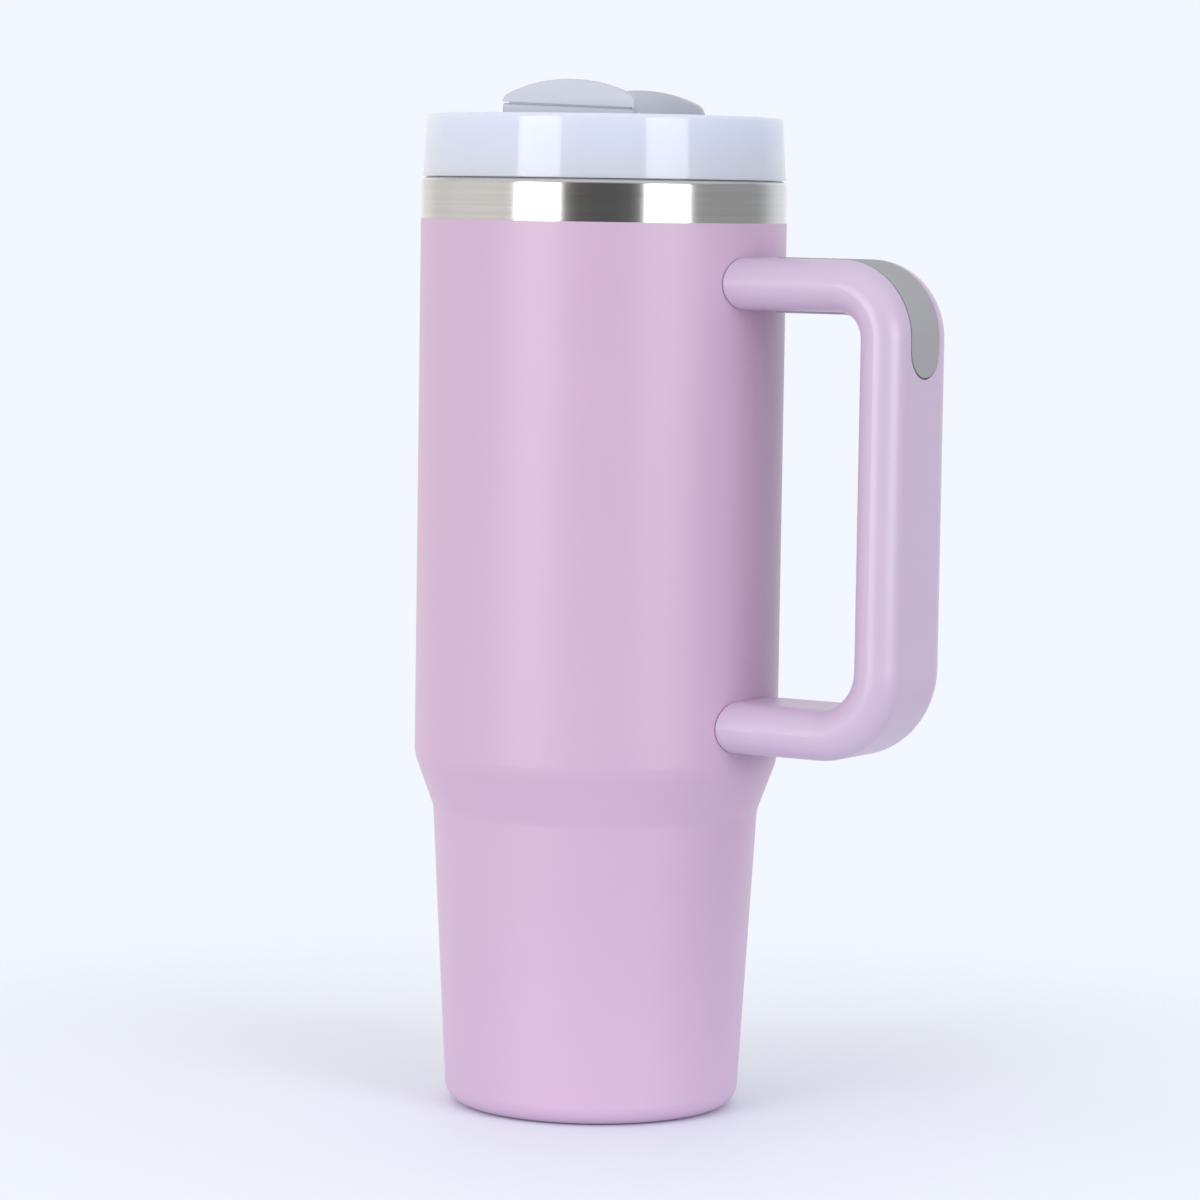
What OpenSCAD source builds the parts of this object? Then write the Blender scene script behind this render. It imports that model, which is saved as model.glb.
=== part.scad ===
// Insulated tumbler with a side handle and a push-in drinking lid.
// Origin: the vessel's axis in the plane it stands on. +Z is up and the handle reaches along +X.

/* [Vessel] */
// Outer diameter of the coated body
body_d = 98; // [80:1:120]
// Height of the steel rim above the resting plane
rim_h = 249.5; // [205:0.5:310]
// Height where the shoulder meets the straight body
shoulder_top_h = 94.5; // [60:0.5:120]
// Height of the sloping shoulder
shoulder_h = 14.2; // [10:0.2:24]
// How much narrower the waist is than the body, across the diameter
waist_step = 10.4; // [6:0.2:16]
// Taper of the foot from the waist to the base, across the diameter
foot_taper = 8.8; // [4:0.2:14]
// Radius of the rounded base corner
foot_corner_r = 5.5; // [3:0.5:8]
// Height of the bare steel band below the rim
bare_band_h = 11.2; // [6:0.2:16]
// Thickness of the powder coat
coat_t = 0.15; // [0.1:0.05:0.3]
// Thickness of the outer steel wall
outer_wall = 0.8; // [0.6:0.1:1.2]
// Gap of the vacuum between the two walls
vacuum_gap = 3.4; // [2.5:0.1:5]
// Thickness of the inner steel wall
liner_wall = 0.7; // [0.6:0.1:1.2]
// Radius of the rolled edge of the rim
rim_edge_r = 1.5; // [0.8:0.1:2]
// Width of the flat ring that the vessel stands on
resting_ring_w = 2.9; // [2:0.1:5]
// Depth of the recess under the base plate
base_recess = 2.5; // [1.5:0.1:4]
// Space between the base plate and the liner's underside
floor_gap = 7; // [6.5:0.5:12]
// Radius of the getter pill
getter_r = 6.2; // [4:0.2:8]
// Thickness of the copper heat shield
copper_t = 0.3; // [0.2:0.05:0.5]

/* [Handle] */
// Room for the fingers between the body and the grip
finger_gap = 36; // [32:0.5:50]
// Width of the handle's section
handle_w = 31; // [22:0.5:34]
// Thickness of the handle's section
handle_t = 14; // [12:0.5:16]
// Wall of the two handle mouldings
handle_wall = 2.6; // [2:0.1:3]
// Drop of the upper arm's centre line below the rim
upper_arm_drop = 26.8; // [22:0.2:40]
// Rise of the lower arm's centre line above the shoulder
lower_arm_rise = 11.5; // [9:0.1:30]
// Centre-line radius of the upper bend
upper_bend_r = 13.5; // [10:0.5:18]
// Centre-line radius of the lower bend
lower_bend_r = 17.5; // [10:0.5:22]
// Gap between the arm ends and the body
saddle_gap = 0.2; // [0.1:0.05:0.5]
// Width of the soft grip strips
strip_w = 14.4; // [10:0.2:15]
// Thickness of the soft grip strips
strip_t = 1.4; // [1:0.1:2]
// Side gap around a grip strip
strip_gap = 0.35; // [0.1:0.05:0.6]
// How far the underside strip stands proud
strip_proud = 0.5; // [0.1:0.1:0.8]
// How far the strips run down the grip below the upper bend
strip_drop = 9.8; // [4:0.2:30]
// Gap between the body and the strips' near ends
strip_start = 6; // [4:0.5:10]
// Thickness of the steel handle brackets
bracket_t = 1.5; // [1:0.1:2]
// Length of the bracket tongue inside an arm
tongue_l = 17; // [14:0.5:18]
// Width of the bracket tongue
tongue_w = 12; // [9:0.5:13]
// Shank radius of the bracket screws
bracket_screw_r = 1.5; // [1.2:0.1:1.8]
// Head radius of the bracket screws
bracket_head_r = 2.9; // [2.5:0.1:3.2]

/* [Lid] */
// How much narrower the lid's lower edge is than the steel rim, across the diameter
lid_inset = 0.6; // [0.2:0.1:2]
// Height of the lid above the rim
lid_h = 16.8; // [14:0.2:24]
// Draft of the lid's skirt, across the diameter
lid_draft = 2; // [0:0.2:4]
// Wall of the lid's skirt
skirt_wall = 2.8; // [2:0.1:3.2]
// Wall of the plug that reaches into the vessel
plug_wall = 2.4; // [2:0.1:3]
// Depth of the plug below the rim
plug_depth = 13.5; // [11:0.5:20]
// Side clearance between the plug and the liner
plug_gap = 1.1; // [0.6:0.1:2]
// Thickness of the lid's deck
deck_t = 2.5; // [2:0.1:3.5]
// Depth of the well from the lid's top edge to the deck
well_depth = 8.4; // [7.4:0.2:12]
// Gap between the lid and the rim it rests on
seat_gap = 0.1; // [0.05:0.05:0.3]
// Width of the gasket in its groove
gasket_h = 6; // [4:0.2:7]
// Depth of the gasket groove
gasket_groove = 1.2; // [0.8:0.1:1.4]
// Clearance between the gasket's ribs and the liner
gasket_gap = 0.2; // [0.1:0.05:0.4]
// Clearance of the gasket in its groove
gasket_fit = 0.15; // [0.1:0.01:0.2]

/* [Dial] */
// Turn of the closed dial from the handle's direction
dial_rest = 12; // [-30:1:30]
// Thickness of the dial's disc
dial_t = 2.6; // [2.2:0.1:3.6]
// Gap between the dial and the deck
dial_lift = 0.3; // [0.2:0.05:0.5]
// Side clearance between the dial and the well
dial_gap = 0.6; // [0.3:0.1:1]
// Radius on which the ports and the finger fins lie
port_ring_r = 26; // [23:0.5:27]
// Radius of the straw grommet's hole
straw_r = 4.1; // [3:0.1:4.5]
// Wall of the straw grommet
grommet_wall = 1.1; // [0.8:0.1:1.4]
// Half width of the drinking port
port_half_w = 5.5; // [4.5:0.1:6]
// Half angle of the drinking port
port_half_angle = 16; // [10:1:20]
// Length of a finger fin
fin_l = 37; // [28:0.5:38]
// Thickness of a finger fin
fin_t = 3.2; // [2.6:0.1:4.5]
// Height of the capped fin above the lid's top edge
cap_fin_h = 9.1; // [7:0.1:12]
// Height of the plain fin above the lid's top edge
plain_fin_h = 7.4; // [6:0.1:12]
// Rise of a fin's arched top
fin_rise = 4.7; // [3:0.1:5]
// Height of the cap's seam above the lid's top edge
seam_h = 2.4; // [1.5:0.1:2.5]
// Gap of the cap's seam
seam_gap = 0.4; // [0.2:0.05:0.6]
// Radius of the dial's pivot post
post_r = 4; // [3.5:0.1:5]
// Running clearance of the post in the lid's boss
post_fit = 0.08; // [0.04:0.01:0.1]
// Wall of the lid's boss
boss_wall = 3.6; // [3:0.1:4.5]
// Depth of the boss below the deck
boss_drop = 3; // [2:0.5:5]

/* [Hidden] */
$fn = 96;
arc_steps = 8;
eps = 0.01;

coat_colour = [0.82, 0.70, 0.83];
steel_colour = [0.72, 0.72, 0.73];
lid_colour = [0.87, 0.90, 0.97];
grey_colour = [0.72, 0.73, 0.75];
dark_colour = [0.35, 0.35, 0.37];
copper_colour = [0.80, 0.48, 0.33];

// vessel
body_r = body_d / 2;
steel_r = body_r - coat_t;
shell_in_r = steel_r - outer_wall;
inset_outer = body_r - shell_in_r;
inset_liner_out = inset_outer + vacuum_gap;
inset_liner_in = inset_liner_out + liner_wall;
waist_r = body_r - waist_step / 2;
foot_r = waist_r - foot_taper / 2;
liner_out_r = body_r - inset_liner_out;
liner_in_r = body_r - inset_liner_in;
resting_ring_in_r = foot_r - foot_corner_r - resting_ring_w;
shoulder_bottom_h = shoulder_top_h - shoulder_h;
band_h = rim_h - bare_band_h;
weld_h = outer_wall;
plate_top = base_recess + outer_wall;
liner_under = plate_top + floor_gap;
liner_floor = liner_under + liner_wall;
shoulder_fillet = 12;
waist_fillet = 5;
liner_foot_fillet = 8;
ring_edge_fillet = 0.3;
// the liner's shoulder sits higher than the shell's, which keeps the vacuum gap open on the slope
liner_lift = 2;
dimple_r = 6;
dimple_h = 1.8;
dimple_slope = 1.5;
vacuum_hole_r = 1.2;
bead_r = 5;
bead_t = 1.2;
getter_h = 2;
getter_fit = 0.1;
getter_offset = (foot_r - inset_liner_out - liner_foot_fillet) / 2;
clip_wall = 0.6;
copper_fit = 0.12;
copper_end_gap = 24;

// handle
upper_arm_h = rim_h - upper_arm_drop;
lower_arm_h = shoulder_top_h + lower_arm_rise;
grip_x = body_r + finger_gap + handle_t / 2;
arm_inside = body_r - 8;
hollow_w = handle_w - 2 * handle_wall;
hollow_t = handle_t - 2 * handle_wall;
saddle_r = body_r + saddle_gap;
strip_from = body_r + strip_start;
strip_end_h = upper_arm_h - upper_bend_r - strip_drop;
pocket_spare = 0.1;
bracket_fit = 0.3;
plate_w = hollow_w - hollow_t + 1;
plate_h = hollow_t - 2 * bracket_fit;
screw_x = body_r + 13;
screw_fit = 0.1;
screw_post_r = 4.4;
post_overlap = 0.5;
head_h = 1.7;
screw_tip = 0.6;
hole_plug_t = 1.2;
hole_plug_rim = 0.9;
hole_plug_fit = 0.1;
head_spare = 0.6;
head_seat = handle_t / 2 - hole_plug_t - head_spare - head_h;

// lid
seat_h = rim_h + seat_gap;
lid_low_r = steel_r - lid_inset / 2;
lid_top_r = lid_low_r - lid_draft / 2;
lid_top_h = rim_h + lid_h;
skirt_in_r = lid_low_r - skirt_wall;
well_draft = 0.4;
well_edge_r = lid_top_r - skirt_wall - 0.2;
well_r = well_edge_r - well_draft;
lid_edge_fillet = 1.2;
plug_r = liner_in_r - plug_gap;
plug_in_r = plug_r - plug_wall;
plug_low_h = rim_h - plug_depth;
deck_h = lid_top_h - well_depth;
deck_under = deck_h - deck_t;
gasket_low_h = plug_low_h + 3;
gasket_top_h = gasket_low_h + gasket_h;
groove_r = plug_r - gasket_groove;
rib_r = liner_in_r - gasket_gap;
rib_h = gasket_h / 5;
rib_slope = 0.3;
boss_bore_r = post_r + post_fit;
boss_r = boss_bore_r + boss_wall;
boss_under = deck_under - boss_drop;

// dial
port_angle = 90;
dial_under = deck_h + dial_lift;
dial_top = dial_under + dial_t;
dial_r = well_r - dial_gap;
dial_edge_fillet = 0.8;
fin_ring_r = port_ring_r + 0.5;
fin_root = 0.5;
fin_arch_r = (pow(fin_l / 2, 2) + pow(fin_rise, 2)) / (2 * fin_rise);
seam_z = lid_top_h + seam_h;
core_t = fin_t / 2;
core_inset = 4;
core_h = 3;
core_fit = 0.1;
grommet_r = straw_r + grommet_wall;
grommet_flange = 1.2;
grommet_flange_t = 0.8;
seal_t = 1.2;
seal_gap = 0.12;
seal_margin = 2;
seal_fit = 0.05;
oring_wire_r = 0.7;
oring_r = post_r + oring_wire_r + 1.5;
oring_fit = 0.05;
washer_r = post_r + 2.6;
washer_t = 1;
washer_gap = 0.3;
post_end_h = boss_under - washer_gap;
pivot_screw_r = 1.5;
pivot_head_r = 2.9;
pivot_head_h = 2;
pivot_screw_bite = 6;

function unit(v) = v / norm(v);

// points of an arc of radius r that rounds the corner at p between a and b
function corner(a, p, b, r) =
    let (
        u = unit(a - p),
        v = unit(b - p),
        half = acos(u * v) / 2,
        c = p + unit(u + v) * r / sin(half),
        s = p + u * r / tan(half) - c,
        e = p + v * r / tan(half) - c,
        sweep = 180 - 2 * half
    )
    [for (i = [0:arc_steps]) c + (sin(sweep * (1 - i / arc_steps)) * s + sin(sweep * i / arc_steps) * e) / sin(sweep)];

function flat(p) = [p[0], p[1]];

// outline from corners [x, y] or [x, y, fillet radius]
function rounded(path) =
    let (n = len(path))
    [for (i = [0:n - 1])
        each (len(path[i]) == 3
            ? corner(flat(path[(i + n - 1) % n]), flat(path[i]), flat(path[(i + 1) % n]), path[i][2])
            : [path[i]])];

module lathe(path) rotate_extrude() polygon(rounded(path));

module outer_shell()
    color(coat_colour)
    lathe([
        [resting_ring_in_r, 0, ring_edge_fillet],
        [foot_r, 0, foot_corner_r],
        [waist_r, shoulder_bottom_h, waist_fillet],
        [body_r, shoulder_top_h, shoulder_fillet],
        [body_r, band_h],
        [steel_r, band_h],
        [steel_r, rim_h, rim_edge_r],
        [liner_out_r, rim_h],
        [liner_out_r, rim_h - weld_h],
        [shell_in_r, rim_h - weld_h, rim_edge_r - outer_wall / 2],
        [shell_in_r, shoulder_top_h, shoulder_fillet],
        [waist_r - inset_outer, shoulder_bottom_h, waist_fillet],
        [foot_r - inset_outer, outer_wall, foot_corner_r - outer_wall],
        [resting_ring_in_r + outer_wall, outer_wall],
        [resting_ring_in_r + outer_wall, plate_top],
        [resting_ring_in_r, plate_top]
    ]);

module inner_liner()
    color(steel_colour)
    lathe([
        [0, liner_under],
        [foot_r - inset_liner_out, liner_under, liner_foot_fillet],
        [waist_r - inset_liner_out, shoulder_bottom_h + liner_lift, waist_fillet],
        [liner_out_r, shoulder_top_h + liner_lift, shoulder_fillet],
        [liner_out_r, rim_h],
        [liner_in_r, rim_h],
        [liner_in_r, shoulder_top_h + liner_lift, shoulder_fillet],
        [waist_r - inset_liner_in, shoulder_bottom_h + liner_lift, waist_fillet],
        [foot_r - inset_liner_in, liner_floor, liner_foot_fillet - liner_wall],
        [0, liner_floor]
    ]);

module base_plate()
    color(steel_colour)
    lathe([
        [vacuum_hole_r, base_recess + dimple_h],
        [dimple_r, base_recess + dimple_h],
        [dimple_r + dimple_slope, base_recess],
        [resting_ring_in_r, base_recess],
        [resting_ring_in_r, plate_top],
        [dimple_r + dimple_slope, plate_top],
        [dimple_r, plate_top + dimple_h],
        [vacuum_hole_r, plate_top + dimple_h]
    ]);

module vacuum_seal()
    color(dark_colour)
    translate([0, 0, base_recess + dimple_h - bead_t]) {
        cylinder(r = bead_r, h = bead_t);
        cylinder(r = vacuum_hole_r, h = bead_t + outer_wall);
    }

module getter_clip()
    color(steel_colour)
    translate([getter_offset, 0, liner_under - clip_wall - getter_h])
    difference() {
        cylinder(r = getter_r + getter_fit + clip_wall, h = getter_h + clip_wall);
        translate([0, 0, -eps]) cylinder(r = getter_r + getter_fit, h = getter_h + eps);
    }

module getter_pill()
    color(dark_colour)
    translate([getter_offset, 0, liner_under - clip_wall - getter_h])
    cylinder(r = getter_r, h = getter_h);

module copper_shield()
    color(copper_colour)
    lathe([
        [liner_out_r + copper_fit, shoulder_top_h + liner_lift + shoulder_fillet],
        [liner_out_r + copper_fit + copper_t, shoulder_top_h + liner_lift + shoulder_fillet],
        [liner_out_r + copper_fit + copper_t, rim_h - copper_end_gap],
        [liner_out_r + copper_fit, rim_h - copper_end_gap]
    ]);

// section of the handle, with x outwards and y across; lo and hi bound x from the centre line
module handle_section(w, t, lo, hi)
    intersection() {
        union() {
            square([t, w - t], center = true);
            for (side = [-1, 1]) translate([0, side * (w - t) / 2]) circle(d = t);
        }
        translate([lo, -w]) square([hi - lo, 2 * w]);
    }

// a quarter bend in the XZ plane, from +X up to +Z, about the origin
module bend(r) rotate([90, 0, 0]) rotate_extrude(angle = 90) translate([r, 0]) children();

// sweeps a section from inside the body along the upper arm, the grip and the lower arm
module sweep_handle(lower = true) {
    grip_low = lower ? lower_arm_h + lower_bend_r : strip_end_h + strip_w / 2;
    translate([grip_x, 0, grip_low])
        linear_extrude(upper_arm_h - upper_bend_r - grip_low) children();
    translate([grip_x - upper_bend_r, 0, upper_arm_h - upper_bend_r]) bend(upper_bend_r) children();
    upper_from = lower ? arm_inside : strip_from + strip_w / 2;
    translate([grip_x - upper_bend_r, 0, upper_arm_h])
        rotate([0, -90, 0]) linear_extrude(grip_x - upper_bend_r - upper_from) children();
    if (lower) {
        translate([grip_x - lower_bend_r, 0, lower_arm_h + lower_bend_r])
            mirror([0, 0, 1]) bend(lower_bend_r) children();
        translate([grip_x - lower_bend_r, 0, lower_arm_h])
            mirror([0, 0, 1]) rotate([0, -90, 0])
            linear_extrude(grip_x - lower_bend_r - arm_inside) children();
    }
}

// a grip strip between two offsets from the centre line, grown sideways by spare
module strip(lo, hi, spare) {
    width = strip_w + 2 * spare;
    sweep_handle(lower = false) translate([lo, -width / 2]) square([hi - lo, width]);
    translate([strip_from + strip_w / 2, 0, upper_arm_h + lo]) cylinder(d = width, h = hi - lo);
    translate([grip_x + lo, 0, strip_end_h + strip_w / 2])
        rotate([0, 90, 0]) cylinder(d = width, h = hi - lo);
}

module saddle_cut()
    translate([0, 0, lower_arm_h - handle_w])
    cylinder(r = saddle_r, h = upper_arm_h - lower_arm_h + 2 * handle_w);

// one half of the hollow handle, between two offsets from the centre line
module handle_half(lo, hi)
    sweep_handle() difference() {
        handle_section(handle_w, handle_t, lo, hi);
        handle_section(hollow_w, hollow_t, lo - eps, hi + eps);
    }

// post inside an arm that grips the bracket's tongue from above or from below
module post_above(h)
    translate([screw_x, 0, h + bracket_t / 2])
    cylinder(r = screw_post_r, h = (hollow_t - bracket_t) / 2 + post_overlap);

module post_below(h)
    translate([screw_x, 0, h - hollow_t / 2 - post_overlap])
    cylinder(r = screw_post_r, h = (hollow_t - bracket_t) / 2 + post_overlap);

// way for a screw that enters an arm from below
module screw_way(h) {
    translate([screw_x, 0, h - handle_t / 2 - eps])
        cylinder(r = bracket_head_r + screw_fit, h = handle_t / 2 - head_seat + eps);
    translate([screw_x, 0, h - handle_t / 2])
        cylinder(r = bracket_screw_r + screw_fit, h = handle_t / 2 + hollow_t / 2);
}

module handle_outer_half()
    color(coat_colour)
    difference() {
        union() {
            handle_half(0, handle_t);
            post_above(upper_arm_h);
            post_below(lower_arm_h);
        }
        saddle_cut();
        strip(handle_t / 2 - strip_t - pocket_spare, handle_t, strip_gap);
        screw_way(upper_arm_h);
        screw_way(lower_arm_h);
        translate([screw_x, 0, lower_arm_h - handle_t / 2 - eps])
            cylinder(r = bracket_head_r + hole_plug_rim, h = hole_plug_t + eps);
    }

module handle_inner_half()
    color(coat_colour)
    difference() {
        union() {
            handle_half(-handle_t / 2, 0);
            post_below(upper_arm_h);
            post_above(lower_arm_h);
        }
        saddle_cut();
        strip(-handle_t / 2 - 1, strip_t + pocket_spare - handle_t / 2, strip_gap);
        screw_way(upper_arm_h);
        screw_way(lower_arm_h);
    }

module top_grip_strip()
    color(grey_colour)
    strip(handle_t / 2 - strip_t, handle_t / 2, 0);

module under_grip_strip()
    color(grey_colour)
    strip(-handle_t / 2 - strip_proud, strip_t - handle_t / 2, 0);

// a curved saddle plate welded to the body, with a tongue that runs into the arm
module bracket(h)
    color(steel_colour)
    translate([0, 0, h]) {
        intersection() {
            difference() {
                cylinder(r = body_r + bracket_t, h = plate_h, center = true);
                cylinder(r = body_r, h = 2 * plate_h, center = true);
            }
            translate([body_r, 0, 0]) cube([body_r, plate_w, 2 * plate_h], center = true);
        }
        difference() {
            translate([body_r + bracket_t / 2, -tongue_w / 2, -bracket_t / 2])
                cube([tongue_l, tongue_w, bracket_t]);
            translate([screw_x, 0, -bracket_t])
                cylinder(r = bracket_screw_r + screw_fit, h = 2 * bracket_t);
        }
    }

module upper_bracket() bracket(upper_arm_h);

module lower_bracket() bracket(lower_arm_h);

module bracket_screws()
    color(steel_colour)
    for (h = [upper_arm_h, lower_arm_h])
        translate([screw_x, 0, h - head_seat]) {
            cylinder(r = bracket_screw_r, h = head_seat + hollow_t / 2 - screw_tip);
            translate([0, 0, -head_h]) cylinder(r = bracket_head_r, h = head_h);
        }

module screw_hole_plug()
    color(coat_colour)
    translate([screw_x, 0, lower_arm_h - handle_t / 2])
    cylinder(r = bracket_head_r + hole_plug_rim - hole_plug_fit, h = hole_plug_t - hole_plug_fit);

module lid_gasket()
    color(grey_colour)
    lathe([
        [groove_r + gasket_fit, gasket_low_h + gasket_fit],
        [plug_r, gasket_low_h + gasket_fit],
        [rib_r, gasket_low_h + gasket_fit + rib_slope],
        [rib_r, gasket_low_h + gasket_fit + rib_h],
        [plug_r, gasket_low_h + gasket_fit + rib_h + rib_slope],
        [plug_r, gasket_top_h - gasket_fit - rib_h - rib_slope],
        [rib_r, gasket_top_h - gasket_fit - rib_h],
        [rib_r, gasket_top_h - gasket_fit - rib_slope],
        [plug_r, gasket_top_h - gasket_fit],
        [groove_r + gasket_fit, gasket_top_h - gasket_fit]
    ]);

// a curved slot of half width half_w, centred on the port ring in the +X direction
module port_slot(half_w, half_angle, h) {
    rotate([0, 0, -half_angle])
        rotate_extrude(angle = 2 * half_angle)
        translate([port_ring_r - half_w, 0]) square([2 * half_w, h]);
    for (side = [-1, 1])
        rotate([0, 0, side * half_angle])
        translate([port_ring_r, 0, 0]) cylinder(r = half_w, h = h);
}

module lid_body()
    color(lid_colour)
    difference() {
        lathe([
            [boss_bore_r, deck_h],
            [well_r, deck_h],
            [well_edge_r, lid_top_h, lid_edge_fillet],
            [lid_top_r, lid_top_h, lid_edge_fillet],
            [lid_low_r, seat_h],
            [skirt_in_r, seat_h],
            [skirt_in_r, deck_under],
            [plug_r, deck_under],
            [plug_r, gasket_top_h],
            [groove_r, gasket_top_h],
            [groove_r, gasket_low_h],
            [plug_r, gasket_low_h],
            [plug_r, plug_low_h],
            [plug_in_r, plug_low_h],
            [plug_in_r, deck_under],
            [boss_r, deck_under],
            [boss_r, boss_under],
            [boss_bore_r, boss_under]
        ]);
        rotate([0, 0, dial_rest + port_angle])
            translate([0, 0, deck_under - 1]) port_slot(port_half_w, port_half_angle, deck_t + 2);
    }

// an arched finger fin across +X that rises from the dial's disc to height h
module fin_blank(h)
    intersection() {
        translate([fin_ring_r - fin_t / 2, -fin_l / 2, dial_top - fin_root])
            cube([fin_t, fin_l, h - dial_top + fin_root]);
        translate([fin_ring_r - fin_t, 0, h - fin_arch_r])
            rotate([0, 90, 0]) cylinder(r = fin_arch_r, h = 2 * fin_t);
    }

// the rib on the capped fin that holds its cap
module fin_core(spare)
    translate([fin_ring_r - core_t / 2 - spare, core_inset - fin_l / 2 - spare, seam_z - fin_root])
    cube([core_t + 2 * spare, fin_l - 2 * core_inset + 2 * spare, core_h + fin_root + spare]);

module fin_cap()
    color(grey_colour)
    rotate([0, 0, dial_rest - port_angle])
    difference() {
        intersection() {
            fin_blank(lid_top_h + cap_fin_h);
            translate([0, -fin_l, seam_z]) cube([2 * fin_ring_r, 2 * fin_l, 2 * cap_fin_h]);
        }
        fin_core(core_fit);
    }

module dial_cover()
    color(grey_colour)
    rotate([0, 0, dial_rest])
    difference() {
        union() {
            lathe([
                [0, post_end_h],
                [post_r, post_end_h],
                [post_r, dial_under],
                [dial_r, dial_under],
                [dial_r, dial_top, dial_edge_fillet],
                [0, dial_top]
            ]);
            rotate([0, 0, port_angle]) fin_blank(lid_top_h + plain_fin_h);
            rotate([0, 0, -port_angle]) {
                intersection() {
                    fin_blank(lid_top_h + cap_fin_h);
                    translate([0, -fin_l, 0]) cube([2 * fin_ring_r, 2 * fin_l, seam_z - seam_gap]);
                }
                fin_core(0);
            }
        }
        // hole for the straw grommet
        translate([port_ring_r, 0, dial_under - 1]) cylinder(r = grommet_r, h = dial_t + 2);
        // opening to drink through
        rotate([0, 0, 2 * port_angle])
            translate([0, 0, dial_under - 1]) port_slot(port_half_w, port_half_angle, dial_t + 2);
        // pocket of the port seal
        rotate([0, 0, port_angle])
            translate([0, 0, deck_h])
            port_slot(port_half_w + seal_margin + seal_fit, port_half_angle, seal_gap + seal_t);
        // groove of the O-ring
        translate([0, 0, deck_h]) difference() {
            cylinder(r = oring_r + oring_wire_r + oring_fit, h = seal_gap + 2 * oring_wire_r + oring_fit);
            cylinder(r = oring_r - oring_wire_r - oring_fit, h = 2 * dial_t);
        }
        translate([0, 0, post_end_h - eps])
            cylinder(r = pivot_screw_r + screw_fit, h = pivot_screw_bite + screw_fit);
    }

module straw_grommet()
    color(dark_colour)
    rotate([0, 0, dial_rest])
    translate([port_ring_r, 0, 0])
    lathe([
        [straw_r, dial_under],
        [grommet_r, dial_under],
        [grommet_r, dial_top],
        [grommet_r + grommet_flange, dial_top],
        [grommet_r + grommet_flange, dial_top + grommet_flange_t, 0.3],
        [straw_r, dial_top + grommet_flange_t]
    ]);

module port_seal()
    color(dark_colour)
    rotate([0, 0, dial_rest + port_angle])
    translate([0, 0, deck_h + seal_gap])
    port_slot(port_half_w + seal_margin, port_half_angle, seal_t);

module pivot_oring()
    color(dark_colour)
    translate([0, 0, deck_h + seal_gap + oring_wire_r])
    rotate_extrude() translate([oring_r, 0]) circle(r = oring_wire_r);

module pivot_washer()
    color(steel_colour)
    translate([0, 0, post_end_h - washer_t])
    difference() {
        cylinder(r = washer_r, h = washer_t);
        translate([0, 0, -eps]) cylinder(r = pivot_screw_r + screw_fit, h = washer_t + 2 * eps);
    }

module pivot_screw()
    color(steel_colour)
    translate([0, 0, post_end_h - washer_t]) {
        cylinder(r = pivot_screw_r, h = washer_t + pivot_screw_bite);
        translate([0, 0, -pivot_head_h]) cylinder(r = pivot_head_r, h = pivot_head_h);
    }

outer_shell();
inner_liner();
base_plate();
vacuum_seal();
getter_clip();
getter_pill();
copper_shield();
upper_bracket();
lower_bracket();
handle_outer_half();
handle_inner_half();
top_grip_strip();
under_grip_strip();
bracket_screws();
screw_hole_plug();
lid_gasket();
lid_body();
dial_cover();
fin_cap();
straw_grommet();
port_seal();
pivot_oring();
pivot_washer();
pivot_screw();
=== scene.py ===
from math import acos, cos, hypot, pi, radians, sin, sqrt, tan

import bmesh
import bpy
from mathutils import Matrix, Vector


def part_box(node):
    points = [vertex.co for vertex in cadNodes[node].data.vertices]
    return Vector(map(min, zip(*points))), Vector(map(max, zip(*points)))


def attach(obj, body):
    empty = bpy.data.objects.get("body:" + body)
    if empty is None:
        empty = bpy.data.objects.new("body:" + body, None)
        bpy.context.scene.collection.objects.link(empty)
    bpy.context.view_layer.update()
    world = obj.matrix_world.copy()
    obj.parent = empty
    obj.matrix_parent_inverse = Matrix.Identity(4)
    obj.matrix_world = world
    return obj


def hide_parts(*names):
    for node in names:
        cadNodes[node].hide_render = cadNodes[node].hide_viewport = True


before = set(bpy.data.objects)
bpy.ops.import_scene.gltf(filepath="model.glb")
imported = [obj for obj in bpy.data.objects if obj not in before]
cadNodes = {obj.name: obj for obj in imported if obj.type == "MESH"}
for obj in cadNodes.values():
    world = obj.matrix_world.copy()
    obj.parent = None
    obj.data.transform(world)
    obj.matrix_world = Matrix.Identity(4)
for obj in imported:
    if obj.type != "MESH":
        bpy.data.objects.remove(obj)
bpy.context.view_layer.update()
mm = 0.001
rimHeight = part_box("outer_shell")[1].z / mm
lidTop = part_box("lid_body")[1].z / mm
print("frame loaded: rim at", round(rimHeight, 2), "mm, lid top at", round(lidTop, 2), "mm")


def addNode(tree, kind, place=(0, 0), **settings):
    node = tree.nodes.new(kind)
    node.location = place
    for name, value in settings.items():
        setattr(node, name, value)
    return node


def setInputs(node, **values):
    for name, value in values.items():
        node.inputs[name.replace("_", " ")].default_value = value


def newGroup(name, inputs, outputs):
    group = bpy.data.node_groups.new(name, "ShaderNodeTree")
    for label, kind, value in inputs:
        socket = group.interface.new_socket(name=label, in_out="INPUT", socket_type=kind)
        socket.default_value = value
    for label, kind in outputs:
        group.interface.new_socket(name=label, in_out="OUTPUT", socket_type=kind)
    start = addNode(group, "NodeGroupInput", (-900, 0))
    end = addNode(group, "NodeGroupOutput", (700, 0))
    return group, start, end


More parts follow.
